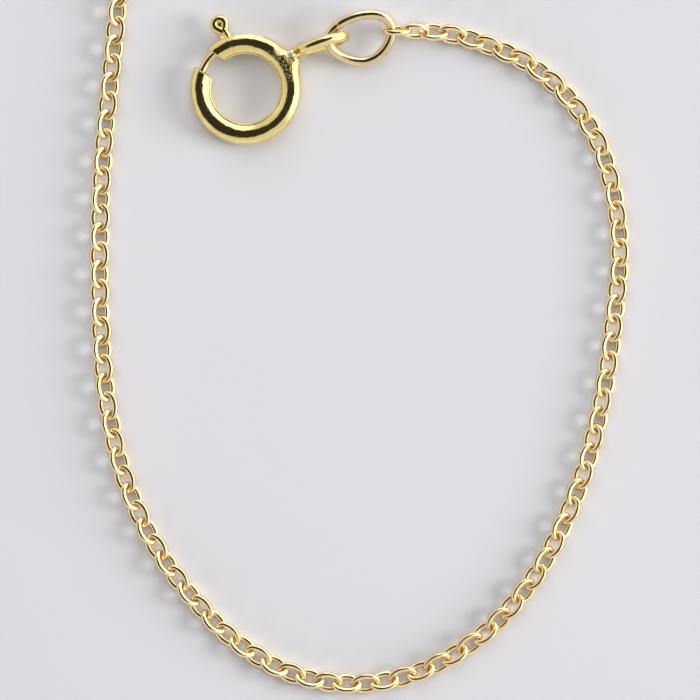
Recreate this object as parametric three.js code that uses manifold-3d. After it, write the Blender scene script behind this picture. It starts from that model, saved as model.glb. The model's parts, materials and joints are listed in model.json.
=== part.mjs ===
// Fine cable chain necklace with a spring ring clasp, lying unfastened on a flat surface.
// Millimetres, +Z up. The pieces are laid out round the clasp ring's centre at X = Y = 0, with the
// surface at Z = 0, and the last lines move the whole necklace so that its box stands on the origin.
// Angles round the clasp are counter-clockwise from +X, seen from above.

import * as THREE from 'three';
import { mergeVertices } from 'three/addons/utils/BufferGeometryUtils.js';
import Module from 'manifold-3d';

const wasm = await Module();
wasm.setup();

// Clasp ring: a hollow tube bent to a ring, with a mouth that the bolt closes
const RING_OUTER_D = 5.5;
const TUBE_D = 1.04;
const TUBE_WALL = 0.12;
const TUBE_SIDES = 12;
const MOUTH_DEG = 144.9;
const MOUTH_WIDTH = 1.08;
const RING_STEP_DEG = 6;

// Bolt: a curved rod in the tube. A stem, that runs in a slot in the tube's outer wall, ends in a flat
// loop of wire for the thumb nail
const BOLT_D = 0.4;
const BOLT_PATH_R = 2.33;
const BOLT_TIP_DEG = 162.5;
const BOLT_TAIL_DEG = 100;
const BOLT_TRAVEL_DEG = 32;
const BOLT_SIDES = 10;
const STEM_D = 0.44;
const STEM_ROOT_DEG = 109.5;
const THUMB_LOOP_D = 0.96;
const THUMB_LOOP_WIRE = 0.42;
const THUMB_LOOP_PATH_R = 3.42;
const THUMB_LOOP_DEG = 112.1;
const SLOT_CLEARANCE = 0.08;

// Eye: an oval wire loop that stands on edge beside the ring, joined to it by a bead of solder
const EYE = { length: 2.93, width: 2.0, wire: 0.54, x: 3.72, y: 2.2, azimuthDeg: 17.3, leanDeg: 6 };
const SOLDER = { alongRadius: 0.4, across: 0.42, pathR: 2.82, azimuthDeg: 34 };

// The eye is taller than the tube and set at its mid height, so the clasp lies with the eye's side raised
const CLASP_TILT_DEG = 4.3;
const CLASP_TILT_AZIMUTH_DEG = 31;

// Jump ring through the eye: an oval drawn out to an egg shape, by these shares of its length and width.
// It leans over its long axis, with the far side raised
const JUMP_RING = {
  length: 3.59, width: 2.81, wire: 0.48, x: 5.68, y: 2.45, z: 0.87, azimuthDeg: 14.5, tiltDeg: 18,
};
const JUMP_RING_EGG = { lengthShare: 0.21, widthShare: 0.05 };

// End ring at the chain's far end: it lies with its chain side raised by the last link
const END_RING = { outerD: 3.0, wire: 0.46, pitchDeg: 8 };

// How finely the round forms are divided, and how near two corners are taken as one
const WIRE_SIDES = 8;
const RING_SEGMENTS = 36;
const BEAD_SEGMENTS = { around: 12, down: 8 };
const SLOT_SEGMENTS = 12;
const ROUTE_DIVISIONS = 2000;
const MERGE_DISTANCE = 1e-4;

// Chain: the space that the links take up, as a tube along the route of their centres
const CHAIN_WIDTH = 1.06;
const CHAIN_HEIGHT = 0.82;
const CHAIN_SIDES = 8;
const CHAIN_END_GAP = 0.3;
const CHAIN_FRONT_LENGTH = 92;
const CHAIN_FRONT_STEPS = 37;
const CHAIN_BACK_STEPS = 43;
const LAST_LINK_REACH = 0.235;

// Centre of the chain from the first link, in the jump ring, to the last, in the end ring: X, Y
const CHAIN_ROUTE = [
  // round the small loop below the clasp
  [7.4, 2.87], [8.55, 2.82], [9.6, 2.77], [11.31, 2.38], [14.03, 1.19], [16.21, -0.81], [17.67, -3.43],
  [18.4, -7.3], [18.14, -11.25], [17.58, -15.16], [16.6, -19.02], [15.05, -22.63], [13.38, -25.13],
  [11.27, -27.18], [8.67, -28.65], [5.8, -29.29], [2.85, -28.97], [0.35, -27.8], [-1.89, -25.89],
  [-4.3, -22.75], [-5.96, -19.2], [-6.84, -15.35], [-7.16, -11.4], [-7.2, -7.45], [-7.05, -3.5],
  [-6.68, 0.45], [-6.3, 4.4],
  // the plain way round the large loop above it
  [-6.1, 9], [-7.8, 17.5], [-13.8, 30], [-25, 42.5], [-35.5, 55.5], [-41.9, 71], [-42.5, 89.7],
  [-36.8, 106.2], [-25.3, 118.7], [-10, 125.2], [6.2, 125.2], [21.5, 118.7], [33, 106.2],
  [38.7, 89.7], [38.1, 71], [31.7, 55.5], [21.2, 42.5], [11.5, 30.5], [4.2, 18.5], [0.8, 9.2],
];

const YELLOW_GOLD = new THREE.MeshStandardMaterial({ color: 0xd8bd66, roughness: 0.16, metalness: 1 });
const BOLT_GOLD = new THREE.MeshStandardMaterial({ color: 0xdcc372, roughness: 0.2, metalness: 1 });
const JUMP_GOLD = new THREE.MeshStandardMaterial({ color: 0xe4c795, roughness: 0.18, metalness: 1 });
const CHAIN_GOLD = new THREE.MeshStandardMaterial({ color: 0xe6c793, roughness: 0.24, metalness: 1 });

const RING_R = (RING_OUTER_D - TUBE_D) / 2;
const rad = THREE.MathUtils.degToRad;

// Part of a circle in the XY plane about the origin
class Arc extends THREE.Curve {
  constructor(radius, fromDeg, toDeg) {
    super();
    this.radius = radius;
    this.from = rad(fromDeg);
    this.to = rad(toDeg);
  }

  getPoint(t, target = new THREE.Vector3()) {
    const angle = THREE.MathUtils.lerp(this.from, this.to, t);
    return target.set(this.radius * Math.cos(angle), this.radius * Math.sin(angle), 0);
  }
}

// The part of a curve between two lengths along it
class Stretch extends THREE.Curve {
  constructor(curve, from, to) {
    super();
    this.curve = curve;
    this.from = from / curve.getLength();
    this.to = to / curve.getLength();
  }

  getPoint(t, target = new THREE.Vector3()) {
    return this.curve.getPointAt(THREE.MathUtils.lerp(this.from, this.to, t), target);
  }
}

// A closed oval in the XY plane, drawn out to an egg shape by shares of its length and width
class Oval extends THREE.Curve {
  constructor(length, width, lengthShare, widthShare) {
    super();
    Object.assign(this, { length, width, lengthShare, widthShare });
  }

  getPoint(t, target = new THREE.Vector3()) {
    const cos = Math.cos(2 * Math.PI * t);
    const sin = Math.sin(2 * Math.PI * t);
    const x = (this.length / 2) * cos * (1 + this.lengthShare * sin);
    const y = (this.width / 2) * sin * (1 + this.widthShare * cos);
    return target.set(x, y, 0);
  }
}

// A polygon with flat sides to the left, right, top and bottom, of the given size across those flats
function flatSidedSection(sizeX, sizeY, sides) {
  const corner = 1 / Math.cos(Math.PI / sides);
  const points = [];
  for (let i = 0; i < sides; i += 1) {
    const angle = (2 * Math.PI * (i + 0.5)) / sides;
    const x = (sizeX / 2) * corner * Math.cos(angle);
    const y = (sizeY / 2) * corner * Math.sin(angle);
    points.push(new THREE.Vector2(x, y));
  }
  return new THREE.Shape(points);
}

// On a curve that lies flat, a section's X runs along Z, so its flat sides face down and up
function sweep(section, curve, steps) {
  return new THREE.ExtrudeGeometry(section, { steps, extrudePath: curve, bevelEnabled: false });
}

function arcTube(diameter, sides, pathR, fromDeg, toDeg) {
  const steps = Math.ceil((toDeg - fromDeg) / RING_STEP_DEG);
  return sweep(flatSidedSection(diameter, diameter, sides), new Arc(pathR, fromDeg, toDeg), steps);
}

// A wire ring in the XY plane, of the given size over its outside
function ovalRing(length, width, wire, egg = { lengthShare: 0, widthShare: 0 }) {
  const middleLine = new Oval(length - wire, width - wire, egg.lengthShare, egg.widthShare);
  return new THREE.TubeGeometry(middleLine, RING_SEGMENTS, wire / 2, WIRE_SIDES, true);
}

function toSolid(geometry) {
  const bare = geometry.clone();
  bare.deleteAttribute('normal');
  bare.deleteAttribute('uv');
  const merged = mergeVertices(bare, MERGE_DISTANCE);
  const vertProperties = new Float32Array(merged.attributes.position.array);
  const triVerts = new Uint32Array(merged.index.array);
  return new wasm.Manifold(new wasm.Mesh({ numProp: 3, vertProperties, triVerts }));
}

function toGeometry(solid) {
  const mesh = solid.getMesh();
  const geometry = new THREE.BufferGeometry();
  geometry.setAttribute('position', new THREE.BufferAttribute(new Float32Array(mesh.vertProperties), 3));
  geometry.setIndex(new THREE.BufferAttribute(new Uint32Array(mesh.triVerts), 1));
  geometry.computeVertexNormals();
  return geometry;
}

function piece(name, geometry, material) {
  const mesh = new THREE.Mesh(geometry, material);
  mesh.name = name;
  return mesh;
}

// The room that the stem needs in the tube's outer wall, from rest to the end of the bolt's travel
function stemSlot() {
  const innerWallR = RING_R + TUBE_D / 2 - TUBE_WALL;
  const marginDeg = THREE.MathUtils.radToDeg((STEM_D / 2 + SLOT_CLEARANCE) / innerWallR);
  const from = rad(STEM_ROOT_DEG - BOLT_TRAVEL_DEG - marginDeg);
  const to = rad(THUMB_LOOP_DEG + marginDeg);
  const sector = new THREE.Shape();
  sector.absarc(0, 0, RING_OUTER_D / 2 + TUBE_D / 2, from, to, false);
  sector.absarc(0, 0, RING_R, to, from, true);
  const height = STEM_D + 2 * SLOT_CLEARANCE;
  const options = { depth: height, bevelEnabled: false, curveSegments: SLOT_SEGMENTS };
  return new THREE.ExtrudeGeometry(sector, options).translate(0, 0, -height / 2);
}

function eyeLoop() {
  const loop = ovalRing(EYE.length, EYE.width, EYE.wire);
  loop.rotateX(rad(90 - EYE.leanDeg));
  loop.rotateZ(rad(EYE.azimuthDeg));
  return loop.translate(EYE.x, EYE.y, 0);
}

function solderBead() {
  const bead = new THREE.SphereGeometry(1, BEAD_SEGMENTS.around, BEAD_SEGMENTS.down);
  bead.scale(SOLDER.alongRadius, SOLDER.across, SOLDER.across);
  bead.translate(SOLDER.pathR, 0, 0);
  return bead.rotateZ(rad(SOLDER.azimuthDeg));
}

// The clasp's mouth is cut straight across the ring, with sides that run side by side
function mouthCut() {
  const cut = new THREE.BoxGeometry(2 * TUBE_D, MOUTH_WIDTH, 2 * TUBE_D);
  return cut.translate(RING_R, 0, 0).rotateZ(rad(MOUTH_DEG));
}

// Ring, eye and solder are one piece of metal, hollowed along the tube, slotted for the stem and cut open
function claspBody() {
  const from = MOUTH_DEG + RING_STEP_DEG;
  const to = MOUTH_DEG - RING_STEP_DEG + 360;
  const boreD = TUBE_D - 2 * TUBE_WALL;
  const tube = toSolid(arcTube(TUBE_D, TUBE_SIDES, RING_R, from, to));
  const bore = toSolid(arcTube(boreD, TUBE_SIDES, RING_R, from, to));
  const metal = tube.add(toSolid(eyeLoop())).add(toSolid(solderBead()));
  return toGeometry(metal.subtract(bore).subtract(toSolid(stemSlot())).subtract(toSolid(mouthCut())));
}

function polar(radius, deg) {
  return new THREE.Vector3(radius, 0, 0).applyAxisAngle(new THREE.Vector3(0, 0, 1), rad(deg));
}

function claspBolt() {
  const rod = arcTube(BOLT_D, BOLT_SIDES, BOLT_PATH_R, BOLT_TAIL_DEG, BOLT_TIP_DEG);
  const root = polar(BOLT_PATH_R, STEM_ROOT_DEG);
  const middle = polar(THUMB_LOOP_PATH_R, THUMB_LOOP_DEG);
  const nearSide = (THUMB_LOOP_D - THUMB_LOOP_WIRE) / 2;
  const top = middle.clone().lerp(root, nearSide / middle.distanceTo(root));
  const stem = sweep(flatSidedSection(STEM_D, STEM_D, BOLT_SIDES), new THREE.LineCurve3(root, top), 1);
  const loop = ovalRing(THUMB_LOOP_D, THUMB_LOOP_D, THUMB_LOOP_WIRE);
  loop.translate(middle.x, middle.y, middle.z);
  return toGeometry(toSolid(rod).add(toSolid(stem)).add(toSolid(loop)));
}

// The clasp's pieces are made about the ring's middle plane, then tilted and set down on the surface
function clasp() {
  const group = new THREE.Group();
  const azimuth = rad(CLASP_TILT_AZIMUTH_DEG);
  const tiltAxis = new THREE.Vector3(Math.sin(azimuth), -Math.cos(azimuth), 0);
  group.setRotationFromAxisAngle(tiltAxis, rad(CLASP_TILT_DEG));
  group.add(piece('clasp_body', claspBody(), YELLOW_GOLD));
  group.add(piece('clasp_bolt', claspBolt(), BOLT_GOLD));
  group.position.z = -new THREE.Box3().setFromObject(group, true).min.z;
  return group;
}

function jumpRing() {
  const { length, width, wire, x, y, z, azimuthDeg, tiltDeg } = JUMP_RING;
  const mesh = piece('jump_ring', ovalRing(length, width, wire, JUMP_RING_EGG), JUMP_GOLD);
  mesh.rotation.set(rad(tiltDeg), 0, rad(azimuthDeg), 'ZYX');
  mesh.position.set(x, y, z);
  return mesh;
}

function chain(route) {
  const group = new THREE.Group();
  const section = flatSidedSection(CHAIN_HEIGHT, CHAIN_WIDTH, CHAIN_SIDES);
  const end = route.getLength() - CHAIN_END_GAP;
  const front = new Stretch(route, CHAIN_END_GAP, CHAIN_FRONT_LENGTH);
  const back = new Stretch(route, CHAIN_FRONT_LENGTH + CHAIN_END_GAP, end);
  group.position.z = CHAIN_HEIGHT / 2;
  group.add(piece('chain_front', sweep(section, front, CHAIN_FRONT_STEPS), CHAIN_GOLD));
  group.add(piece('chain_back', sweep(section, back, CHAIN_BACK_STEPS), CHAIN_GOLD));
  return group;
}

function endRing(route) {
  const { outerD, wire, pitchDeg } = END_RING;
  const wireR = (outerD - wire) / 2;
  const heading = route.getTangent(1);
  const mesh = piece('end_ring', ovalRing(outerD, outerD, wire), JUMP_GOLD);
  mesh.rotation.set(0, rad(pitchDeg), Math.atan2(heading.y, heading.x), 'ZYX');
  mesh.position.copy(route.getPoint(1)).addScaledVector(heading, wireR + LAST_LINK_REACH);
  mesh.position.z = wire / 2 + wireR * Math.sin(rad(pitchDeg));
  return mesh;
}

const routePoints = CHAIN_ROUTE.map(([x, y]) => new THREE.Vector3(x, y, 0));
const chainRoute = new THREE.CatmullRomCurve3(routePoints, false, 'catmullrom');
chainRoute.arcLengthDivisions = ROUTE_DIVISIONS;

const necklace = new THREE.Group();
necklace.add(clasp(), jumpRing(), chain(chainRoute), endRing(chainRoute));

const box = new THREE.Box3().setFromObject(necklace, true);
const middle = box.getCenter(new THREE.Vector3());
necklace.position.set(-middle.x, -middle.y, -box.min.z);

export default necklace;
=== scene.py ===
"""Fine gold cable chain necklace with a spring ring clasp, lying unfastened on a pale surface.

Lengths are metres, written as millimetres times MM. Each piece is worked out as one array about the clasp
ring's centre on the surface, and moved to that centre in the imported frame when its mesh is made. Angles round
the clasp run counter-clockwise from +X, seen from above.
"""

import json
import math

import bmesh
import bpy
import numpy as np
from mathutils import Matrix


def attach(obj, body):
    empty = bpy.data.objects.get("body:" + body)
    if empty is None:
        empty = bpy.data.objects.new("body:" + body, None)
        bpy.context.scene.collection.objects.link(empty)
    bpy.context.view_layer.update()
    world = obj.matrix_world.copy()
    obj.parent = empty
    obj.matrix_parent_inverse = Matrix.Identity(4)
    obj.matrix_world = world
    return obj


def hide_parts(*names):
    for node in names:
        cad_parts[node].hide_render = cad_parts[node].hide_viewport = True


MM = 0.001
WELD_DISTANCE = 1e-5 * MM
SHARP_EDGE_DEG = 50

# Clasp ring: a hollow tube bent to a ring, with a mouth that the bolt closes and a slot for the bolt's stem.
# The tube is a little flattened above and bulges at its inner side, where its seam runs
RING_TOP_R = 2.275 * MM
TUBE_OUT = 0.475 * MM
TUBE_IN = 0.56 * MM
TUBE_TOP = 0.43 * MM
TUBE_BOTTOM = 0.52 * MM
TUBE_WALL = 0.12 * MM
LIP = 0.05 * MM
SEAM_ANGLE = math.radians(163)
SEAM_HALF_WIDTH = math.radians(4)
SEAM_SHARE = 0.1
MOUTH_ANGLE = math.radians(144.9)
MOUTH_HALF_WIDTH = 0.54 * MM
MOUTH_REACH = math.radians(12)
SLOT_FROM = math.radians(71)
SLOT_TO = math.radians(118.6)
SLOT_HALF_HEIGHT = 0.26 * MM
# steps along the tube, the first one past the mouth as a share of its reach, and columns round the tube
RING_STEPS = {"lip": 5, "mouth": 10, "round": 120, "slot": 24, "end": 10}
MOUTH_FIRST_STEP = 0.02
RING_COLUMNS = {"slot": 12, "seam": 12, "side": 24}

# Bolt: a curved rod in the tube, moved by a loop of wire on a stem
BOLT_R = 0.2 * MM
BOLT_PATH_R = 2.33 * MM
BOLT_TIP = math.radians(162.5)
BOLT_TAIL = math.radians(100)
BOLT_CAP_STEPS = 7
BOLT_STEPS = 40
BOLT_SIDES = 20
STEM_HALF_WIDTH = 0.24 * MM
STEM_HALF_HEIGHT = 0.22 * MM
STEM_SHARPNESS = 1.45
STEM_SKEW = 0.11 * MM
STEM_FLARE = 0.14 * MM
STEM_FLARE_REACH = 0.13 * MM
STEM_FLARE_FLATNESS = 3
STEM_ROOT = math.radians(109.5)
STEM_STEPS = 16
STEM_SIDES = 40
THUMB_LOOP_D = 0.96 * MM
THUMB_LOOP_WIRE = 0.42 * MM
THUMB_LOOP_PATH_R = 3.42 * MM
THUMB_LOOP_ANGLE = math.radians(112.1)
THUMB_LOOP_POINT = 0.14 * MM
THUMB_LOOP_NARROWING = 0.45
THUMB_WEB_DEPTH = 0.05 * MM
THUMB_WEB_HALF_WALL = 0.05 * MM
THUMB_LOOP_STEPS = 72
THUMB_LOOP_SIDES = 22
THUMB_WEB_STEPS = 9

# Eye: an oval wire loop that stands on edge beside the ring, and the solder that joins them
EYE_LENGTH = 2.93 * MM
EYE_HEIGHT = 2.0 * MM
EYE_WIRE = 0.54 * MM
EYE_CENTRE = np.array([3.72, 2.2, 0.0]) * MM
EYE_AZIMUTH = math.radians(17.3)
EYE_LEAN = math.radians(6)
EYE_STEPS = 80
EYE_SIDES = 24
# the solder's lump, in millimetres and degrees: half its size out from the ring, along it and up, and
# its place
SOLDER_BEAD = {"size": (0.36, 0.32, 0.4), "radius": 2.8, "angle": 36.5}
# its two swells: depth, waves round the lump, waves down it, and where the wave starts
SOLDER_SWELLS = ((0.05, 3, 0, 1), (0.03, 5, -4, 0))
SOLDER_STEPS = 41
SOLDER_SIDES = 60
# the solder that runs down the ring's outer side from it
FILLET_ANGLE = math.radians(31)
FILLET_SPREAD = math.radians(9)
FILLET_DEPTH = 0.3 * MM

# The eye is taller than the tube and set at its mid height, so the clasp lies with the eye's side raised
CLASP_TILT = math.radians(4.3)
CLASP_TILT_AZIMUTH = math.radians(31)

# Jump ring: an egg-shaped ring through the eye, that leans over its long axis with the far side raised
JUMP_LENGTH = 3.59 * MM
JUMP_WIDTH = 2.81 * MM
JUMP_WIRE = 0.48 * MM
JUMP_CENTRE = np.array([5.68, 2.45, 0.87]) * MM
JUMP_AZIMUTH = math.radians(14.5)
JUMP_TILT = math.radians(18)
JUMP_SPREAD = 0.21
JUMP_BULGE = 0.05
# where its ends meet: the wire swells there and has a fine notch, by shares of its radius, over radians
JUMP_SEAM = math.radians(120)
JUMP_SEAM_REACH = 0.3
JUMP_SWELL = 0.07
JUMP_SWELL_WIDTH = 0.09
JUMP_NOTCH = 0.3
JUMP_NOTCH_WIDTH = 0.014
# steps along the wire, crowded towards the seam, and sides round it
JUMP_SEAM_STEPS = 31
JUMP_SEAM_CROWDING = 3
JUMP_STEPS = 92
JUMP_SIDES = 28

# End ring at the chain's far end: it lies with its chain side raised by the last link
END_RING_D = 3.0 * MM
END_RING_WIRE = 0.46 * MM
END_RING_PITCH = math.radians(8)
LAST_LINK_REACH = 0.235 * MM
END_RING_STEPS = 64
END_RING_SIDES = 20

# Chain: oval links of slightly squared wire, leaning to the right and to the left in turn
LINK_LENGTH = 1.54 * MM
LINK_WIDTH = 1.1 * MM
LINK_WIRE = 0.28 * MM
LINK_FLATNESS = 2.5
LINK_PITCH = 0.9275 * MM
LINK_ROLL_RIGHT = math.radians(27)
LINK_ROLL_LEFT = math.radians(33)
LINK_ROLL_SPREAD = math.radians(3)
FIRST_ROLL = math.radians(70)
FIRST_LIFT = 0.3 * MM
FIRST_LINKS_EASE = 1.5
FRONT_LENGTH = 92 * MM
RANDOM_SEED = 7
ROUTE_STEPS = 20000
# steps round a link and sides of its wire, for the links that the picture shows and for the rest
FRONT_LINK_STEPS = {"turns": 32, "sides": 16}
BACK_LINK_STEPS = {"turns": 12, "sides": 6}

# Centre of the chain from the first link, in the jump ring, to the last, in the end ring: X, Y
CHAIN_ROUTE = MM * np.array([
    # round the small loop below the clasp
    [7.4, 2.87], [8.55, 2.82], [9.6, 2.77], [11.31, 2.38], [14.03, 1.19], [16.21, -0.81], [17.67, -3.43],
    [18.4, -7.3], [18.14, -11.25], [17.58, -15.16], [16.6, -19.02], [15.05, -22.63], [13.38, -25.13],
    [11.27, -27.18], [8.67, -28.65], [5.8, -29.29], [2.85, -28.97], [0.35, -27.8], [-1.89, -25.89],
    [-4.3, -22.75], [-5.96, -19.2], [-6.84, -15.35], [-7.16, -11.4], [-7.2, -7.45], [-7.05, -3.5],
    [-6.68, 0.45], [-6.3, 4.4],
    # the plain way round the large loop above it
    [-6.1, 9], [-7.8, 17.5], [-13.8, 30], [-25, 42.5], [-35.5, 55.5], [-41.9, 71], [-42.5, 89.7],
    [-36.8, 106.2], [-25.3, 118.7], [-10, 125.2], [6.2, 125.2], [21.5, 118.7], [33, 106.2],
    [38.7, 89.7], [38.1, 71], [31.7, 55.5], [21.2, 42.5], [11.5, 30.5], [4.2, 18.5], [0.8, 9.2],
])

# Camera: straight above, with the picture's width and middle measured from the clasp ring's centre
PICTURE_WIDTH = 34.53 * MM
PICTURE_MIDDLE = np.array([5.126, -12.856]) * MM
CAMERA_DISTANCE = 300 * MM
NEAR_CLIP = 1 * MM

# Studio light: what the metal mirrors is a surround that is bright to the upper right, with a dark ceiling
SURROUND_LEVEL = 0.77
HORIZON_LEVEL = 1.1
BRIGHT_LEVEL = 2.1
BRIGHT_AZIMUTH = math.radians(35)
DARK_LEVEL = 0.035
DARK_EDGE = 0.12
# heights of a unit direction between which the horizon's light fades, cosines between which the bright side's
# light comes up, and the least height and level reach that are divided by
HORIZON_FADE = (0.05, 0.25)
BRIGHT_FADE = (0.2, 0.5)
LOWEST = 0.02
NEVER_ZERO = 1e-4
# the ceiling's sides: the way each one faces, in degrees from +X, and its distance, at unit height
DARK_SIDES = ((180, 1.2), (140, 1.05), (90, 0.95), (23, 0.8), (0, 0.6), (-52, 0.42), (241, 1.12))

# Soft lights on the surface, in degrees, metres and watts: low to the right, a part of it mirrored in the
# metal, past the picture's top edge, weak and low past its bottom edge, and almost straight above
KEY_LIGHT = {"azimuth": 0, "from_vertical": 69, "size": 0.24, "power": 1.65, "mirrored": False}
GLINT_LIGHT = {"azimuth": 0, "from_vertical": 69, "size": 0.24, "power": 0.75, "mirrored": True}
UPPER_LIGHT = {"azimuth": 102, "from_vertical": 46, "size": 0.66, "power": 2.2, "mirrored": False}
FILL_LIGHT = {"azimuth": 261, "from_vertical": 74, "size": 0.2, "power": 0.8, "mirrored": False}
TOP_LIGHT = {"azimuth": 0, "from_vertical": 4, "size": 0.2, "power": 0.37, "mirrored": False}
LIGHT_DISTANCE = 0.5

# Golds: the two tones that each drifts between
LEMON_GOLD = ((0.93, 0.77, 0.345), (0.88, 0.7, 0.275))
JUMP_GOLD = ((0.88, 0.7, 0.415), (0.82, 0.63, 0.34))
CHAIN_GOLD = ((0.97, 0.78, 0.45), (0.93, 0.705, 0.365))
# how rough and how wavy each piece's gold is, with the waves' height in millimetres
CLASP_FINISH = (0.1, 0.016)
BOLT_FINISH = (0.12, 0.01)
JUMP_FINISH = (0.1, 0.01)
CHAIN_FINISH = (0.16, 0.01)

# Skin of the gold: the size of each mark and the levels of its noise where it starts and is full, with
# depths in millimetres
DRIFT_SIZE = 0.7 * MM
DRIFT_LEVELS = (0.35, 0.65)
SCUFF_SIZE = 0.05 * MM
SCUFF_LEVELS = (0.55, 0.8)
SCUFF_DULLNESS = 0.1
SCRATCH_SIZE = 0.25 * MM
SCRATCH_LEVELS = (0.6, 0.66)
SCRATCH_STRETCH = 9
SCRATCH_TURN = math.radians(52)
SCRATCH_DULLNESS = 0.06
SCRATCH_DEPTH = 0.0006
WAVE_SIZE = 0.35 * MM

# Marks of soldering, and a painted shadow in the gap at the eye's foot: middle from the clasp's centre, and
# the distances where each is full and ends. These and the depths are in millimetres. The pale solder and the
# specks are ragged by one noise, each between its own levels
HEATED = {"at": (2.0, 1.1), "full": 0.5, "reach": 1.5}
PIT_SIZE = 0.06 * MM
PIT_LEVELS = (0.56, 0.66)
PIT_DEPTH = 0.004
PIT_DULLNESS = 0.1
RAGGED_SIZE = 0.09 * MM
SILVER = {"at": (2.18, 1.66), "full": 0.08, "reach": 0.24}
SILVER_LEVELS = (0.38, 0.48)
SILVER_COLOUR = (0.93, 0.93, 0.92)
SILVER_DULLNESS = 0.3
SPECKS = {"at": (2.24, 1.42), "full": 0.1, "reach": 0.28}
SPECK_LEVELS = (0.44, 0.5)
SPECK_COLOUR = (0.09, 0.075, 0.05)
SPECK_DEPTH = 0.01
# painted shadow: a dark brown spot where the eye's foot meets the solder, standing in for the shade in that gap
EYE_FOOT_SHADE = {"at": (2.59, 1.84), "full": 0.05, "reach": 0.15}
EYE_FOOT_SHADE_COLOUR = (0.3, 0.2, 0.06)
FLOW = {"at": (1.58, 1.8), "full": 0.08, "reach": 0.3}
FLOW_DEPTH = 0.05

# Floor: a square of pale paper
FLOOR_HALF = 2.0
PAPER_COLOUR = (0.79, 0.785, 0.82)
PAPER_ROUGHNESS = 0.55
PAPER_SHINE = 0.1
GRAIN_SIZE = 0.6 * MM
GRAIN_DEPTH = 0.02 * MM
GRAIN_STRENGTH = 0.15


class Field:
    """A socket of a node tree. Arithmetic on fields adds Math nodes, and add() makes any other node."""

    def __init__(self, tree, socket=None):
        self.tree = tree
        self.socket = socket

    def add(self, kind, settings=None, inputs=None, output=0):
        """A new node of that kind with its settings made first, then its sockets set or linked."""
        node = self.tree.nodes.new(kind)
        for name, value in (settings or {}).items():
            setattr(node, name, value)
        for name, value in (inputs or {}).items():
            if isinstance(value, Field):
                self.tree.links.new(value.socket, node.inputs[name])
            else:
                node.inputs[name].default_value = value
        return Field(self.tree, node.outputs[output] if node.outputs else None)

    def math(self, operation, *values):
        return self.add("ShaderNodeMath", {"operation": operation}, dict(enumerate(values)))

    def __add__(self, other):
        return self.math("ADD", self, other)

    def __sub__(self, other):
        return self.math("SUBTRACT", self, other)

    def __rsub__(self, other):
        return self.math("SUBTRACT", other, self)

    def __mul__(self, other):
        return self.math("MULTIPLY", self, other)

    def __truediv__(self, other):
        return self.math("DIVIDE", self, other)

    __radd__ = __add__
    __rmul__ = __mul__

    def at_least(self, low):
        return self.math("MAXIMUM", self, low)

    def root(self):
        return self.math("SQRT", self)

    def step(self, low, high):
        """Smooth step from 0 at low to 1 at high."""
        settings = {"interpolation_type": "SMOOTHSTEP"}
        return self.add("ShaderNodeMapRange", settings, {"Value": self, "From Min": low, "From Max": high})

    def split(self):
        """The X, Y and Z of a vector."""
        return [self.add("ShaderNodeSeparateXYZ", {}, {"Vector": self}, axis) for axis in "XYZ"]

    def blend(self, first, second):
        """The colour that lies between two colours by this share."""
        settings = {"data_type": "RGBA"}
        return self.add("ShaderNodeMix", settings, {0: self, 6: first, 7: second}, 2)

    def noise(self, size, detail, roughness=0.5):
        """Noise over this vector, with features of the given size in metres."""
        inputs = {"Vector": self, "Scale": 1 / size, "Detail": detail, "Roughness": roughness}
        return self.add("ShaderNodeTexNoise", {}, inputs)


def grid_quads(rows, columns, close_rows=True):
    """The corners of every quad between neighbours on a grid of points. The last column joins the first,
    and the last row joins the first where asked."""
    row = np.arange(rows if close_rows else rows - 1)[:, None]
    column = np.arange(columns)[None, :]
    next_row = (row + 1) % rows
    next_column = (column + 1) % columns
    corners = [
        row * columns + column,
        next_row * columns + column,
        next_row * columns + next_column,
        row * columns + next_column,
    ]
    return np.stack(np.broadcast_arrays(*corners), axis=-1).reshape(-1, 4)


def make_piece(name, points, quads, material, sharp_deg=None):
    """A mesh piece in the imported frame: points about the clasp's centre, welded, with its faces turned
    out."""
    mesh = bpy.data.meshes.new(name)
    mesh.from_pydata((points.reshape(-1, 3) + CLASP_CENTRE).tolist(), [], quads.tolist())
    shape = bmesh.new()
    shape.from_mesh(mesh)
    bmesh.ops.remove_doubles(shape, verts=shape.verts, dist=WELD_DISTANCE)
    bmesh.ops.recalc_face_normals(shape, faces=shape.faces)
    shape.to_mesh(mesh)
    shape.free()
    mesh.shade_smooth()
    if sharp_deg is not None:
        mesh.set_sharp_from_angle(angle=math.radians(sharp_deg))
    mesh.materials.append(material)
    piece = bpy.data.objects.new(name, mesh)
    bpy.context.scene.collection.objects.link(piece)
    return piece


def polar(radius, angle, height):
    """Points at a radius and angle round the clasp, at a height."""
    x, y, z = np.broadcast_arrays(radius * np.cos(angle), radius * np.sin(angle), height)
    return np.stack([x, y, z], axis=-1)


def round_section(count, flatness=2.0):
    """Section of a wire of unit radius, where the flatness-th powers of both coordinates add up to one: a
    circle at 2, squarer with round corners above that, and a ridged diamond below it."""
    t = np.linspace(0, 2 * np.pi, count, endpoint=False)
    power = 2 / flatness
    u = np.sign(np.cos(t)) * np.abs(np.cos(t)) ** power
    v = np.sign(np.sin(t)) * np.abs(np.sin(t)) ** power
    return u, v


def wire_loop(x, y, section):
    """A closed wire along a line (x, y) that runs counter-clockwise in the XY plane. The section (u, v)
    stands on the line, with u along the line's outward normal in the plane and v along Z."""
    u, v = section
    along_x = np.roll(x, -1) - np.roll(x, 1)
    along_y = np.roll(y, -1) - np.roll(y, 1)
    speed = np.hypot(along_x, along_y)
    wide = x[:, None] + (along_y / speed)[:, None] * u
    long = y[:, None] - (along_x / speed)[:, None] * u
    return np.stack(np.broadcast_arrays(wide, long, v), axis=-1)


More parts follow.
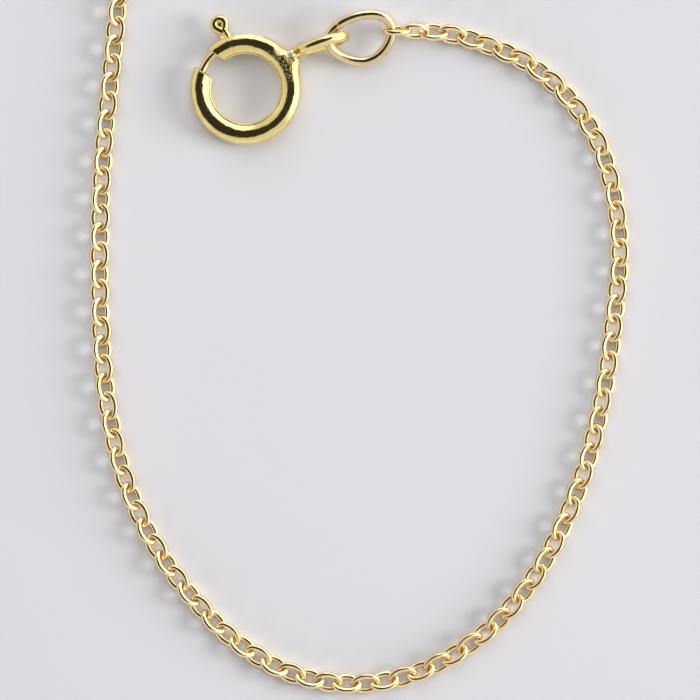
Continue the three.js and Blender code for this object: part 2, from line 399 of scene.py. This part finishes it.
def oval_wire(length, width, wire, section, turns):
    """A wire bent to an ellipse, of the given size over its outside."""
    t = np.linspace(0, 2 * np.pi, turns, endpoint=False)
    u, v = section
    scaled = (u * wire / 2, v * wire / 2)
    return wire_loop((length - wire) / 2 * np.cos(t), (width - wire) / 2 * np.sin(t), scaled)


def turned(points, axis, angle):
    """Points turned about a coordinate axis by the right-hand rule."""
    first, second = [(1, 2), (2, 0), (0, 1)]["XYZ".index(axis)]
    result = points.copy()
    result[..., first] = points[..., first] * math.cos(angle) - points[..., second] * math.sin(angle)
    result[..., second] = points[..., first] * math.sin(angle) + points[..., second] * math.cos(angle)
    return result


def on_clasp(points):
    """Points made about the middle plane of the clasp's ring, tilted with the clasp and lifted to its
    centre."""
    level = turned(points, "Z", -CLASP_TILT_AZIMUTH)
    return turned(turned(level, "Y", -CLASP_TILT), "Z", CLASP_TILT_AZIMUTH) + [0, 0, CLASP_HEIGHT]


def slot_rim(first, last, rows, columns):
    """Quads along the rim of the stem's slot, from the outer face to the bore. The rim runs along the
    slot's first column, across its last row, back along its last column and across its first row."""
    window_columns = RING_COLUMNS["slot"]
    edge_rows = np.arange(first, last + 1)
    edge_columns = np.arange(window_columns + 1)
    loop_row = np.concatenate([
        edge_rows[:-1],
        np.full(window_columns, last),
        edge_rows[:0:-1],
        np.full(window_columns, first),
    ])
    loop_column = np.concatenate([
        np.zeros(len(edge_rows) - 1, int),
        edge_columns[:-1],
        np.full(len(edge_rows) - 1, window_columns),
        edge_columns[:0:-1],
    ])
    on_outer = loop_row * columns + loop_column
    on_inner = (rows - 1 - loop_row) * columns + loop_column
    return np.stack([on_outer, np.roll(on_outer, -1), np.roll(on_inner, -1), on_inner], axis=-1)


def clasp_ring(material):
    """The wall's outline, out along the outer face, over the rounded lip and back along the bore, is
    carried round the ring. The tube's section is made of quarter ellipses, flatter above than below, with
    the inner side swollen by the square of the cosine and a seam sunk in it by a bell curve. Near the
    mouth the angle of each point is set so that the two ends run side by side: its sine is half the
    mouth's width over the point's radius. Solder swells the outer side by a bell curve over the angle. A
    window in the outer wall is left out and edged, as the stem's slot."""
    half_mouth = math.asin(MOUTH_HALF_WIDTH / RING_TOP_R)
    start = MOUTH_ANGLE + half_mouth
    end = MOUTH_ANGLE + 2 * np.pi - half_mouth
    slot = np.array([SLOT_FROM, SLOT_TO]) + 2 * np.pi
    turn = np.linspace(0, np.pi / 2, RING_STEPS["lip"])
    lip_along = LIP / RING_TOP_R * (1 - np.sin(turn[:-1]))
    lip_down = LIP / TUBE_OUT * (1 - np.cos(turn[:-1]))
    lip_along, lip_down = lip_along[::-1], lip_down[::-1]
    near = np.linspace(MOUTH_FIRST_STEP, 1, RING_STEPS["mouth"])
    round_from = start + MOUTH_REACH + 2 * LIP / RING_TOP_R
    bend = np.concatenate([
        start + lip_along,
        start + LIP / RING_TOP_R + MOUTH_REACH * near,
        np.linspace(round_from, slot[0], RING_STEPS["round"], endpoint=False),
        np.linspace(slot[0], slot[1], RING_STEPS["slot"], endpoint=False),
        np.linspace(slot[1], end - LIP / RING_TOP_R, RING_STEPS["end"], endpoint=False),
        end - lip_along[::-1],
    ])
    wall = np.ones(len(bend))
    wall[: len(lip_down)] -= lip_down
    wall[-len(lip_down):] -= lip_down[::-1]
    window = math.asin(SLOT_HALF_HEIGHT / TUBE_TOP)
    seam_from = SEAM_ANGLE - 2 * SEAM_HALF_WIDTH
    seam_to = SEAM_ANGLE + 2 * SEAM_HALF_WIDTH
    around = np.concatenate([
        np.linspace(-window, window, RING_COLUMNS["slot"], endpoint=False),
        np.linspace(window, seam_from, RING_COLUMNS["side"], endpoint=False),
        np.linspace(seam_from, seam_to, RING_COLUMNS["seam"], endpoint=False),
        np.linspace(seam_to, 2 * np.pi - window, RING_COLUMNS["side"], endpoint=False),
    ])
    outward, upward = np.cos(around), np.sin(around)
    seam = 1 - SEAM_SHARE * np.exp(-((around - SEAM_ANGLE) / SEAM_HALF_WIDTH) ** 2)
    reach = (TUBE_OUT + (TUBE_IN - TUBE_OUT) * np.minimum(outward, 0) ** 2) * outward * seam
    rise = np.where(upward > 0, TUBE_TOP, TUBE_BOTTOM) * upward * seam
    share = np.concatenate([wall, np.full(len(bend), 1 - TUBE_WALL / TUBE_OUT)])[:, None]
    angle = np.concatenate([bend, bend[::-1]])[:, None]
    solder = FILLET_DEPTH * np.exp(-((angle - 2 * np.pi - FILLET_ANGLE) / FILLET_SPREAD) ** 2)
    from_axis = RING_TOP_R + share * (reach + solder * np.maximum(outward, 0) ** 2)
    straighten = np.arcsin(MOUTH_HALF_WIDTH / from_axis) - half_mouth
    at_start = np.clip(1 - (angle - start) / MOUTH_REACH, 0, 1) ** 2
    at_end = np.clip(1 - (end - angle) / MOUTH_REACH, 0, 1) ** 2
    points = polar(from_axis, angle + straighten * (at_start - at_end), share * rise)
    rows, columns = points.shape[:2]

    first = int(np.argmin(np.abs(bend - slot[0])))
    last = int(np.argmin(np.abs(bend - slot[1])))
    row = np.repeat(np.arange(rows), columns)
    column = np.tile(np.arange(columns), rows)
    outer = (row >= first) & (row < last)
    inner = (row >= rows - 1 - last) & (row < rows - 1 - first)
    walls = grid_quads(rows, columns)[~((outer | inner) & (column < RING_COLUMNS["slot"]))]
    quads = np.concatenate([walls, slot_rim(first, last, rows, columns)])
    return make_piece("clasp_ring", on_clasp(points), quads, material, SHARP_EDGE_DEG)


def clasp_eye(material):
    """The eye's oval wire, stood on edge and leant over."""
    points = oval_wire(EYE_LENGTH, EYE_HEIGHT, EYE_WIRE, round_section(EYE_SIDES), EYE_STEPS)
    points = turned(turned(points, "X", np.pi / 2 - EYE_LEAN), "Z", EYE_AZIMUTH) + EYE_CENTRE
    return make_piece("clasp_eye", on_clasp(points), grid_quads(*points.shape[:2]), material)


def solder_lump(name, size, radius, angle, material):
    """An ellipsoid with faint lumps, set at a radius and an angle round the clasp: the distance of its
    skin from its middle swells and sinks by two sine waves over both angles."""
    down = np.linspace(0, np.pi, SOLDER_STEPS)[:, None]
    around = np.linspace(0, 2 * np.pi, SOLDER_SIDES, endpoint=False)[None, :]
    lumps = sum(
        depth * np.sin(waves_round * around + waves_down * down + start)
        for depth, waves_round, waves_down, start in SOLDER_SWELLS
    )
    swell = 1 + lumps * np.sin(down) ** 2
    x = swell * np.sin(down) * np.cos(around)
    y = swell * np.sin(down) * np.sin(around)
    z = swell * np.cos(down)
    points = MM * (np.stack([x, y, z], axis=-1) * np.array(size) + [radius, 0, 0])
    points = turned(points, "Z", math.radians(angle))
    quads = grid_quads(*points.shape[:2], close_rows=False)
    return make_piece(name, on_clasp(points), quads, material)


def bolt_rod(material):
    """A rod bent round the clasp, whose radius rounds off to nothing at both ends: a quarter circle."""
    cap = np.linspace(0, np.pi / 2, BOLT_CAP_STEPS)[:-1]
    reach = BOLT_R / BOLT_PATH_R
    run = np.linspace(BOLT_TAIL + reach, BOLT_TIP - reach, BOLT_STEPS)
    tail = BOLT_TAIL + reach * (1 - np.cos(cap))
    tip = BOLT_TIP - reach * (1 - np.cos(cap[::-1]))
    angle = np.concatenate([tail, run, tip])[:, None]
    radius = BOLT_R * np.concatenate([np.sin(cap), np.ones(len(run)), np.sin(cap[::-1])])[:, None]
    around = np.linspace(0, 2 * np.pi, BOLT_SIDES, endpoint=False)
    points = polar(BOLT_PATH_R + radius * np.cos(around), angle, radius * np.sin(around))
    quads = grid_quads(*points.shape[:2], close_rows=False)
    return make_piece("bolt_rod", on_clasp(points), quads, material)


def thumb_axes():
    """The stem's root on the rod, the thumb loop's middle, and the unit vectors from the one to the other
    and to the left of that."""
    root = polar(BOLT_PATH_R, STEM_ROOT, 0.0)
    middle = polar(THUMB_LOOP_PATH_R, THUMB_LOOP_ANGLE, 0.0)
    out = (middle - root) / np.linalg.norm(middle - root)
    return root, middle, out, np.array([-out[1], out[0], 0])


def bolt_stem(material):
    """A bar from the rod to the thumb loop with a ridge above and below, the upper one pushed to the
    right. It flares out where it leaves the ring, by a share that falls off exponentially."""
    root, middle, out, left = thumb_axes()
    length = np.linalg.norm(middle - root) - (THUMB_LOOP_D - THUMB_LOOP_WIRE) / 2
    wall = RING_TOP_R + TUBE_OUT - BOLT_PATH_R - LIP
    along = np.concatenate([[0, 0, wall], np.linspace(wall, length, STEM_STEPS), [length]])
    flare = np.concatenate([[0, 0, 0], np.exp(-(along[3:-1] - wall) / STEM_FLARE_REACH), [0]])
    open_end = np.ones(len(along))
    open_end[[0, -1]] = 0
    half_width = (open_end * STEM_HALF_WIDTH + flare * STEM_FLARE)[:, None]
    half_height = (open_end * STEM_HALF_HEIGHT + flare * STEM_FLARE / STEM_FLARE_FLATNESS)[:, None]
    u, v = round_section(STEM_SIDES, STEM_SHARPNESS)
    sideways = half_width * u - STEM_SKEW * open_end[:, None] * np.maximum(v, 0)
    points = root + along[:, None, None] * out + sideways[..., None] * left
    points[..., 2] += half_height * v
    quads = grid_quads(*points.shape[:2], close_rows=False)
    return make_piece("bolt_stem", on_clasp(points), quads, material, SHARP_EDGE_DEG)


def drop_line():
    """Middle line of the thumb loop, with X away from the stem: a circle that is drawn out by the cube of
    the cosine, and narrowed by its square, towards the stem."""
    t = np.linspace(0, 2 * np.pi, THUMB_LOOP_STEPS, endpoint=False)
    reach = (THUMB_LOOP_D - THUMB_LOOP_WIRE) / 2
    towards_stem = np.maximum(-np.cos(t), 0)
    x = reach * np.cos(t) - THUMB_LOOP_POINT * towards_stem ** 3
    y = reach * np.sin(t) * (1 - THUMB_LOOP_NARROWING * towards_stem ** 2)
    return x, y


def thumb_loop(material):
    """A ring of wire along the drop line."""
    _, middle, out, left = thumb_axes()
    u, v = round_section(THUMB_LOOP_SIDES)
    wire = wire_loop(*drop_line(), (u * THUMB_LOOP_WIRE / 2, v * THUMB_LOOP_WIRE / 2))
    points = middle + wire[..., :1] * out + wire[..., 1:2] * left
    points[..., 2] += wire[..., 2]
    return make_piece("bolt_thumb_loop", on_clasp(points), grid_quads(*points.shape[:2]), material)


def thumb_web(material):
    """A dished plate that closes the thumb loop: the drop line shrunk to its middle, where both faces are
    sunk by a share that falls with the square of the distance."""
    _, middle, out, left = thumb_axes()
    x, y = drop_line()
    outwards = np.linspace(0, 1, THUMB_WEB_STEPS)
    share = np.concatenate([outwards, outwards[::-1]])[:, None]
    face = np.repeat([1, -1], THUMB_WEB_STEPS)[:, None]
    points = middle + (share * x)[..., None] * out + (share * y)[..., None] * left
    points[..., 2] += face * THUMB_WEB_HALF_WALL - THUMB_WEB_DEPTH * (1 - share ** 2)
    quads = grid_quads(*points.shape[:2], close_rows=False)
    return make_piece("bolt_thumb_web", on_clasp(points), quads, material)


def jump_ring(material):
    """The jump ring's wire, leant over its long axis. Its middle line is the ellipse (a cos t, b sin t),
    with X drawn out by spread times sin t and Y by bulge times cos t. At the seam, where its ends meet,
    the wire swells a little and has a fine notch, by two bell curves."""
    crowded = np.linspace(-JUMP_SEAM_CROWDING, JUMP_SEAM_CROWDING, JUMP_SEAM_STEPS)
    near = np.sinh(crowded) / math.sinh(JUMP_SEAM_CROWDING) * JUMP_SEAM_REACH
    away = np.linspace(JUMP_SEAM_REACH, 2 * np.pi - JUMP_SEAM_REACH, JUMP_STEPS)[1:-1]
    t = np.concatenate([near, away]) + JUMP_SEAM
    from_seam = np.angle(np.exp(1j * (t - JUMP_SEAM)))
    swell = 1 + JUMP_SWELL * np.exp(-(from_seam / JUMP_SWELL_WIDTH) ** 2)
    swell = swell - JUMP_NOTCH * np.exp(-(from_seam / JUMP_NOTCH_WIDTH) ** 2)
    u, v = round_section(JUMP_SIDES)
    section = (swell[:, None] * u * JUMP_WIRE / 2, swell[:, None] * v * JUMP_WIRE / 2)
    x = (JUMP_LENGTH - JUMP_WIRE) / 2 * np.cos(t) * (1 + JUMP_SPREAD * np.sin(t))
    y = (JUMP_WIDTH - JUMP_WIRE) / 2 * np.sin(t) * (1 + JUMP_BULGE * np.cos(t))
    points = wire_loop(x, y, section)
    points = turned(turned(points, "X", JUMP_TILT), "Z", JUMP_AZIMUTH) + JUMP_CENTRE
    return make_piece("jump_ring_wire", points, grid_quads(*points.shape[:2]), material)


def end_ring(material):
    """The round end ring, in line with the end of the chain, tipped up on its last link."""
    points = oval_wire(END_RING_D, END_RING_D, END_RING_WIRE, round_section(END_RING_SIDES), END_RING_STEPS)
    heading = route_points(np.array([len(CHAIN_ROUTE) - 1.0]))[1][0]
    wire_r = (END_RING_D - END_RING_WIRE) / 2
    points = turned(turned(points, "Y", END_RING_PITCH), "Z", math.atan2(heading[1], heading[0]))
    points[..., :2] += CHAIN_ROUTE[-1] + heading * (wire_r + LAST_LINK_REACH)
    points[..., 2] += END_RING_WIRE / 2 + wire_r * math.sin(END_RING_PITCH)
    return make_piece("end_ring_wire", points, grid_quads(*points.shape[:2]), material)


def route_points(t):
    """Points and unit headings of the chain's route at the given places, counted in route points. Between
    two of them the route is a cubic, with each point's heading set by its two neighbours."""
    before = 2 * CHAIN_ROUTE[0] - CHAIN_ROUTE[1]
    after = 2 * CHAIN_ROUTE[-1] - CHAIN_ROUTE[-2]
    route = np.concatenate([[before], CHAIN_ROUTE, [after]])
    k = np.clip(t.astype(int), 0, len(CHAIN_ROUTE) - 2)
    w = (t - k)[:, None]
    p0, p1, p2, p3 = route[k], route[k + 1], route[k + 2], route[k + 3]
    m1, m2 = (p2 - p0) / 2, (p3 - p1) / 2
    c2 = 3 * (p2 - p1) - 2 * m1 - m2
    c3 = 2 * (p1 - p2) + m1 + m2
    heading = m1 + 2 * c2 * w + 3 * c3 * w * w
    place = p1 + m1 * w + c2 * w * w + c3 * w ** 3
    return place, heading / np.linalg.norm(heading, axis=-1, keepdims=True)


def link_frames():
    """Length along the route, centre, heading and roll of every link, at even lengths along the route.
    Links lean to the right and to the left in turn, and each rests on the surface: its centre is as high
    as half its middle line's width times the sine of its roll, with the section's reach below that line.
    The first few, held up by the jump ring, lean more and lie higher, easing off exponentially."""
    t = np.linspace(0, len(CHAIN_ROUTE) - 1, ROUTE_STEPS)
    place = route_points(t)[0]
    length = np.concatenate([[0], np.cumsum(np.linalg.norm(np.diff(place, axis=0), axis=-1))])
    count = int(round(length[-1] / LINK_PITCH)) + 1
    at = np.linspace(0, length[-1], count)
    centre, heading = route_points(np.interp(at, length, t))
    number = np.arange(count)
    lift = np.exp(-number / FIRST_LINKS_EASE)
    to_right = number % 2 == 0
    roll = np.where(to_right, LINK_ROLL_RIGHT, LINK_ROLL_LEFT)
    roll = roll + LINK_ROLL_SPREAD * np.random.default_rng(RANDOM_SEED).uniform(-1, 1, count)
    roll = roll + (FIRST_ROLL - roll) * lift
    power = LINK_FLATNESS / (LINK_FLATNESS - 1)
    below = LINK_WIRE / 2 * (np.sin(roll) ** power + np.cos(roll) ** power) ** (1 / power)
    height = (LINK_WIDTH - LINK_WIRE) / 2 * np.sin(roll) + below + FIRST_LIFT * lift
    return at, np.column_stack([centre, height]), heading, np.where(to_right, -roll, roll)


def chain_links(name, chosen, turns, sides, material):
    """Every chosen link as one array: the link's oval wire, with X along the heading and Y to the left of
    it, rolled about the heading and set at the link's centre."""
    centre, heading, roll = [values[chosen] for values in LINKS[1:]]
    section = round_section(sides, LINK_FLATNESS)
    link = oval_wire(LINK_LENGTH, LINK_WIDTH, LINK_WIRE, section, turns).reshape(-1, 3)
    along = np.column_stack([heading, np.zeros(len(heading))])[:, None, :]
    left = np.column_stack([-heading[:, 1], heading[:, 0], np.zeros(len(heading))])[:, None, :]
    up = np.array([0.0, 0.0, 1.0])
    cos, sin = np.cos(roll)[:, None, None], np.sin(roll)[:, None, None]
    across = left * cos + up * sin
    facing = up * cos - left * sin
    points = centre[:, None, :] + link[:, :1] * along + link[:, 1:2] * across + link[:, 2:] * facing
    first = (np.arange(len(centre)) * len(link))[:, None, None]
    quads = (grid_quads(turns, sides)[None] + first).reshape(-1, 4)
    return make_piece(name, points, quads, material)


def new_material(name):
    """A material with an empty node tree, and the field that adds nodes to it."""
    material = bpy.data.materials.new(name)
    material.use_nodes = True
    material.node_tree.nodes.clear()
    return material, Field(material.node_tree)


def gold(name, bright, deep, roughness, waviness):
    """Polished gold, with the field of its nodes, its place, colour, roughness and height: the colour
    drifts between two tones, fine scuffs change the roughness, and slow waves and fine scratches bend
    reflections."""
    material, field = new_material(name)
    place = field.add("ShaderNodeTexCoord", {}, {}, "Object")
    drift = place.noise(DRIFT_SIZE, detail=3.0).step(*DRIFT_LEVELS)
    scuffs = place.noise(SCUFF_SIZE, detail=4.0, roughness=0.65).step(*SCUFF_LEVELS)
    stretch = {"Vector": place, "Rotation": (0, 0, SCRATCH_TURN), "Scale": (1, SCRATCH_STRETCH, 1)}
    stretched = place.add("ShaderNodeMapping", {}, stretch)
    scratches = stretched.noise(SCRATCH_SIZE, detail=3.0, roughness=0.6).step(*SCRATCH_LEVELS)
    colour = drift.blend((*bright, 1), (*deep, 1))
    dull = roughness + scuffs * SCUFF_DULLNESS + scratches * SCRATCH_DULLNESS
    height = place.noise(WAVE_SIZE, detail=1.5) * waviness - scratches * SCRATCH_DEPTH
    return material, field, place, colour, dull, height


def finished(material, field, colour, dull, height):
    """The metal shader on a gold's fields, with the height in millimetres as its bump."""
    bump = {"Strength": 1.0, "Distance": MM, "Height": height}
    shader = field.add("ShaderNodeBsdfPrincipled", {}, {
        "Base Color": colour,
        "Metallic": 1.0,
        "Roughness": dull,
        "Normal": field.add("ShaderNodeBump", {}, bump),
    })
    field.add("ShaderNodeOutputMaterial", {}, {"Surface": shader})
    return material


def plain_gold(name, bright, deep, roughness, waviness):
    """Polished gold with nothing else on it."""
    material, field, _, colour, dull, height = gold(name, bright, deep, roughness, waviness)
    return finished(material, field, colour, dull, height)


def soldered_and_shaded_gold(name, bright, deep, roughness, waviness):
    """Polished gold with the marks of soldering and one painted shadow: round the joint the skin has fine
    pits, with one spot where solder flowed, and beside the eye a patch of pale solder shows, with dark
    specks below it. A dark brown painted shadow stands in for the shade in the gap at the eye's foot."""
    material, field, place, colour, dull, height = gold(name, bright, deep, roughness, waviness)
    x, y, _ = place.split()

    def near(spot):
        """A mask that falls from 1 to 0 between two distances from a spot, seen from above."""
        centre = CLASP_CENTRE[:2] + np.array(spot["at"]) * MM
        away_x, away_y = x - float(centre[0]), y - float(centre[1])
        return 1 - (away_x * away_x + away_y * away_y).root().step(spot["full"] * MM, spot["reach"] * MM)

    pits = place.noise(PIT_SIZE, detail=2.0, roughness=0.6).step(*PIT_LEVELS) * near(HEATED)
    ragged = place.noise(RAGGED_SIZE, detail=3.0, roughness=0.65)
    silver = near(SILVER) * ragged.step(*SILVER_LEVELS)
    specks = near(SPECKS) * ragged.step(*SPECK_LEVELS)
    # painted shadow: the gap at the eye's foot is coloured dark brown for the shade that falls there
    colour = near(EYE_FOOT_SHADE).blend(silver.blend(colour, (*SILVER_COLOUR, 1)), (*EYE_FOOT_SHADE_COLOUR, 1))
    colour = specks.blend(colour, (*SPECK_COLOUR, 1))
    dull = dull + pits * PIT_DULLNESS + silver * SILVER_DULLNESS
    height = height - pits * PIT_DEPTH - specks * SPECK_DEPTH + near(FLOW) * ragged * FLOW_DEPTH
    return finished(material, field, colour, dull, height)


def paper():
    """Pale smooth paper with a faint grain."""
    material, field = new_material("pale_paper")
    place = field.add("ShaderNodeTexCoord", {}, {}, "Object")
    grain = place.noise(GRAIN_SIZE, detail=3.0)
    bump = {"Strength": GRAIN_STRENGTH, "Distance": GRAIN_DEPTH, "Height": grain}
    shader = field.add("ShaderNodeBsdfPrincipled", {}, {
        "Base Color": (*PAPER_COLOUR, 1),
        "Roughness": PAPER_ROUGHNESS,
        "Specular IOR Level": PAPER_SHINE,
        "Normal": field.add("ShaderNodeBump", {}, bump),
    })
    field.add("ShaderNodeOutputMaterial", {}, {"Surface": shader})
    return material


def add_floor():
    """A square of paper under the necklace, wide enough for every view."""
    points = np.array([[-1, -1, 0], [1, -1, 0], [1, 1, 0], [-1, 1, 0]]) * FLOOR_HALF
    mesh = bpy.data.meshes.new("floor")
    mesh.from_pydata(points.tolist(), [], [[0, 1, 2, 3]])
    mesh.materials.append(paper())
    floor = bpy.data.objects.new("floor", mesh)
    bpy.context.scene.collection.objects.link(floor)


def add_surround():
    """World light by direction, on a ceiling at unit height: the level rises to the horizon and to the
    bright side, and falls to dark inside the ceiling's sides. Only the metal mirrors it."""
    world = bpy.data.worlds.new("studio")
    bpy.context.scene.world = world
    world.use_nodes = True
    world.node_tree.nodes.clear()
    world.cycles_visibility.diffuse = False
    field = Field(world.node_tree)
    x, y, z = field.add("ShaderNodeTexCoord", {}, {}, "Generated").split()
    flat = (x * x + y * y).root().at_least(NEVER_ZERO)
    towards = (x * math.cos(BRIGHT_AZIMUTH) + y * math.sin(BRIGHT_AZIMUTH)) / flat
    low = SURROUND_LEVEL + (1 - z.step(*HORIZON_FADE)) * (HORIZON_LEVEL - SURROUND_LEVEL)
    level = low + towards.step(*BRIGHT_FADE) * (BRIGHT_LEVEL - low)
    above = z.at_least(LOWEST)
    dark = z.step(0.0, LOWEST)
    for facing_deg, distance in DARK_SIDES:
        facing = math.radians(facing_deg)
        out = (x * math.cos(facing) + y * math.sin(facing)) / above
        dark = dark * (1 - out.step(distance - DARK_EDGE, distance + DARK_EDGE))
    strength = level + dark * (DARK_LEVEL - level)
    background = field.add("ShaderNodeBackground", {}, {"Color": (1, 1, 1, 1), "Strength": strength})
    field.add("ShaderNodeOutputWorld", {}, {"Surface": background})


def add_light(name, azimuth, from_vertical, size, power, mirrored):
    """A square soft light that faces the middle of the picture, mirrored in the metal or not."""
    data = bpy.data.lights.new(name, "AREA")
    data.shape = "SQUARE"
    data.size = size
    data.energy = power
    light = bpy.data.objects.new(name, data)
    turn = math.radians(azimuth)
    lean = math.radians(from_vertical)
    reach = LIGHT_DISTANCE * math.sin(lean)
    light.location = (
        VIEW_MIDDLE[0] + reach * math.cos(turn),
        VIEW_MIDDLE[1] + reach * math.sin(turn),
        LIGHT_DISTANCE * math.cos(lean),
    )
    light.rotation_euler = (0, lean, turn)
    light.visible_glossy = mirrored
    bpy.context.scene.collection.objects.link(light)


def add_camera():
    """A camera straight above the middle of the picture."""
    data = bpy.data.cameras.new("camera")
    data.sensor_fit = "HORIZONTAL"
    data.angle = 2 * math.atan(PICTURE_WIDTH / 2 / CAMERA_DISTANCE)
    data.clip_start = NEAR_CLIP
    camera = bpy.data.objects.new("camera", data)
    camera.location = (VIEW_MIDDLE[0], VIEW_MIDDLE[1], CAMERA_DISTANCE)
    bpy.context.scene.collection.objects.link(camera)
    bpy.context.scene.camera = camera


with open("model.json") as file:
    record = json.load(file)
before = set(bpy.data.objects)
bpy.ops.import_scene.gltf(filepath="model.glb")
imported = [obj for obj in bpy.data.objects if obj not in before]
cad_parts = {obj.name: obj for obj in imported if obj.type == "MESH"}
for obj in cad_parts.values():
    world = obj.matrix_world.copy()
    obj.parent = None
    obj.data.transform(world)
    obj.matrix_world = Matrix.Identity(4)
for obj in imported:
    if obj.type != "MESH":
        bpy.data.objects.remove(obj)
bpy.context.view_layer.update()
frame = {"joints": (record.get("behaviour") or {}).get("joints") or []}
ring_centre = frame["joints"][0]["pos_m"]
CLASP_HEIGHT = ring_centre[2]
CLASP_CENTRE = np.array([*ring_centre[:2], 0.0])
VIEW_MIDDLE = CLASP_CENTRE[:2] + PICTURE_MIDDLE
LINKS = link_frames()

add_camera()
add_floor()
add_surround()
add_light("key", **KEY_LIGHT)
add_light("glint", **GLINT_LIGHT)
add_light("upper", **UPPER_LIGHT)
add_light("fill", **FILL_LIGHT)
add_light("top", **TOP_LIGHT)
bpy.context.scene.view_settings.view_transform = "Standard"

clasp_gold = soldered_and_shaded_gold("clasp_gold", *LEMON_GOLD, *CLASP_FINISH)
bolt_gold = plain_gold("bolt_gold", *LEMON_GOLD, *BOLT_FINISH)
jump_gold = plain_gold("jump_gold", *JUMP_GOLD, *JUMP_FINISH)
chain_gold = plain_gold("chain_gold", *CHAIN_GOLD, *CHAIN_FINISH)

in_front = LINKS[0] < FRONT_LENGTH
bead = solder_lump("clasp_solder", **SOLDER_BEAD, material=clasp_gold)

# Each piece with the body that it rides, its material slot and the CAD node that it replaces
PIECES = [
    (clasp_ring(clasp_gold), "necklace", "clasp_gold", "clasp_body"),
    (clasp_eye(clasp_gold), "necklace", "clasp_gold", "clasp_body"),
    (bead, "necklace", "clasp_gold", "clasp_body"),
    (bolt_rod(bolt_gold), "bolt", "bolt_gold", "clasp_bolt"),
    (bolt_stem(bolt_gold), "bolt", "bolt_gold", "clasp_bolt"),
    (thumb_loop(bolt_gold), "bolt", "bolt_gold", "clasp_bolt"),
    (thumb_web(bolt_gold), "bolt", "bolt_gold", "clasp_bolt"),
    (jump_ring(jump_gold), "necklace", "jump_gold", "jump_ring"),
    (end_ring(jump_gold), "necklace", "jump_gold", "end_ring"),
    (
        chain_links("chain_front_links", in_front, **FRONT_LINK_STEPS, material=chain_gold),
        "necklace", "chain_gold", "chain_front",
    ),
    (
        chain_links("chain_back_links", ~in_front, **BACK_LINK_STEPS, material=chain_gold),
        "necklace", "chain_gold", "chain_back",
    ),
]
for piece, body, slot, node in PIECES:
    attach(piece, body)
    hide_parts(node)
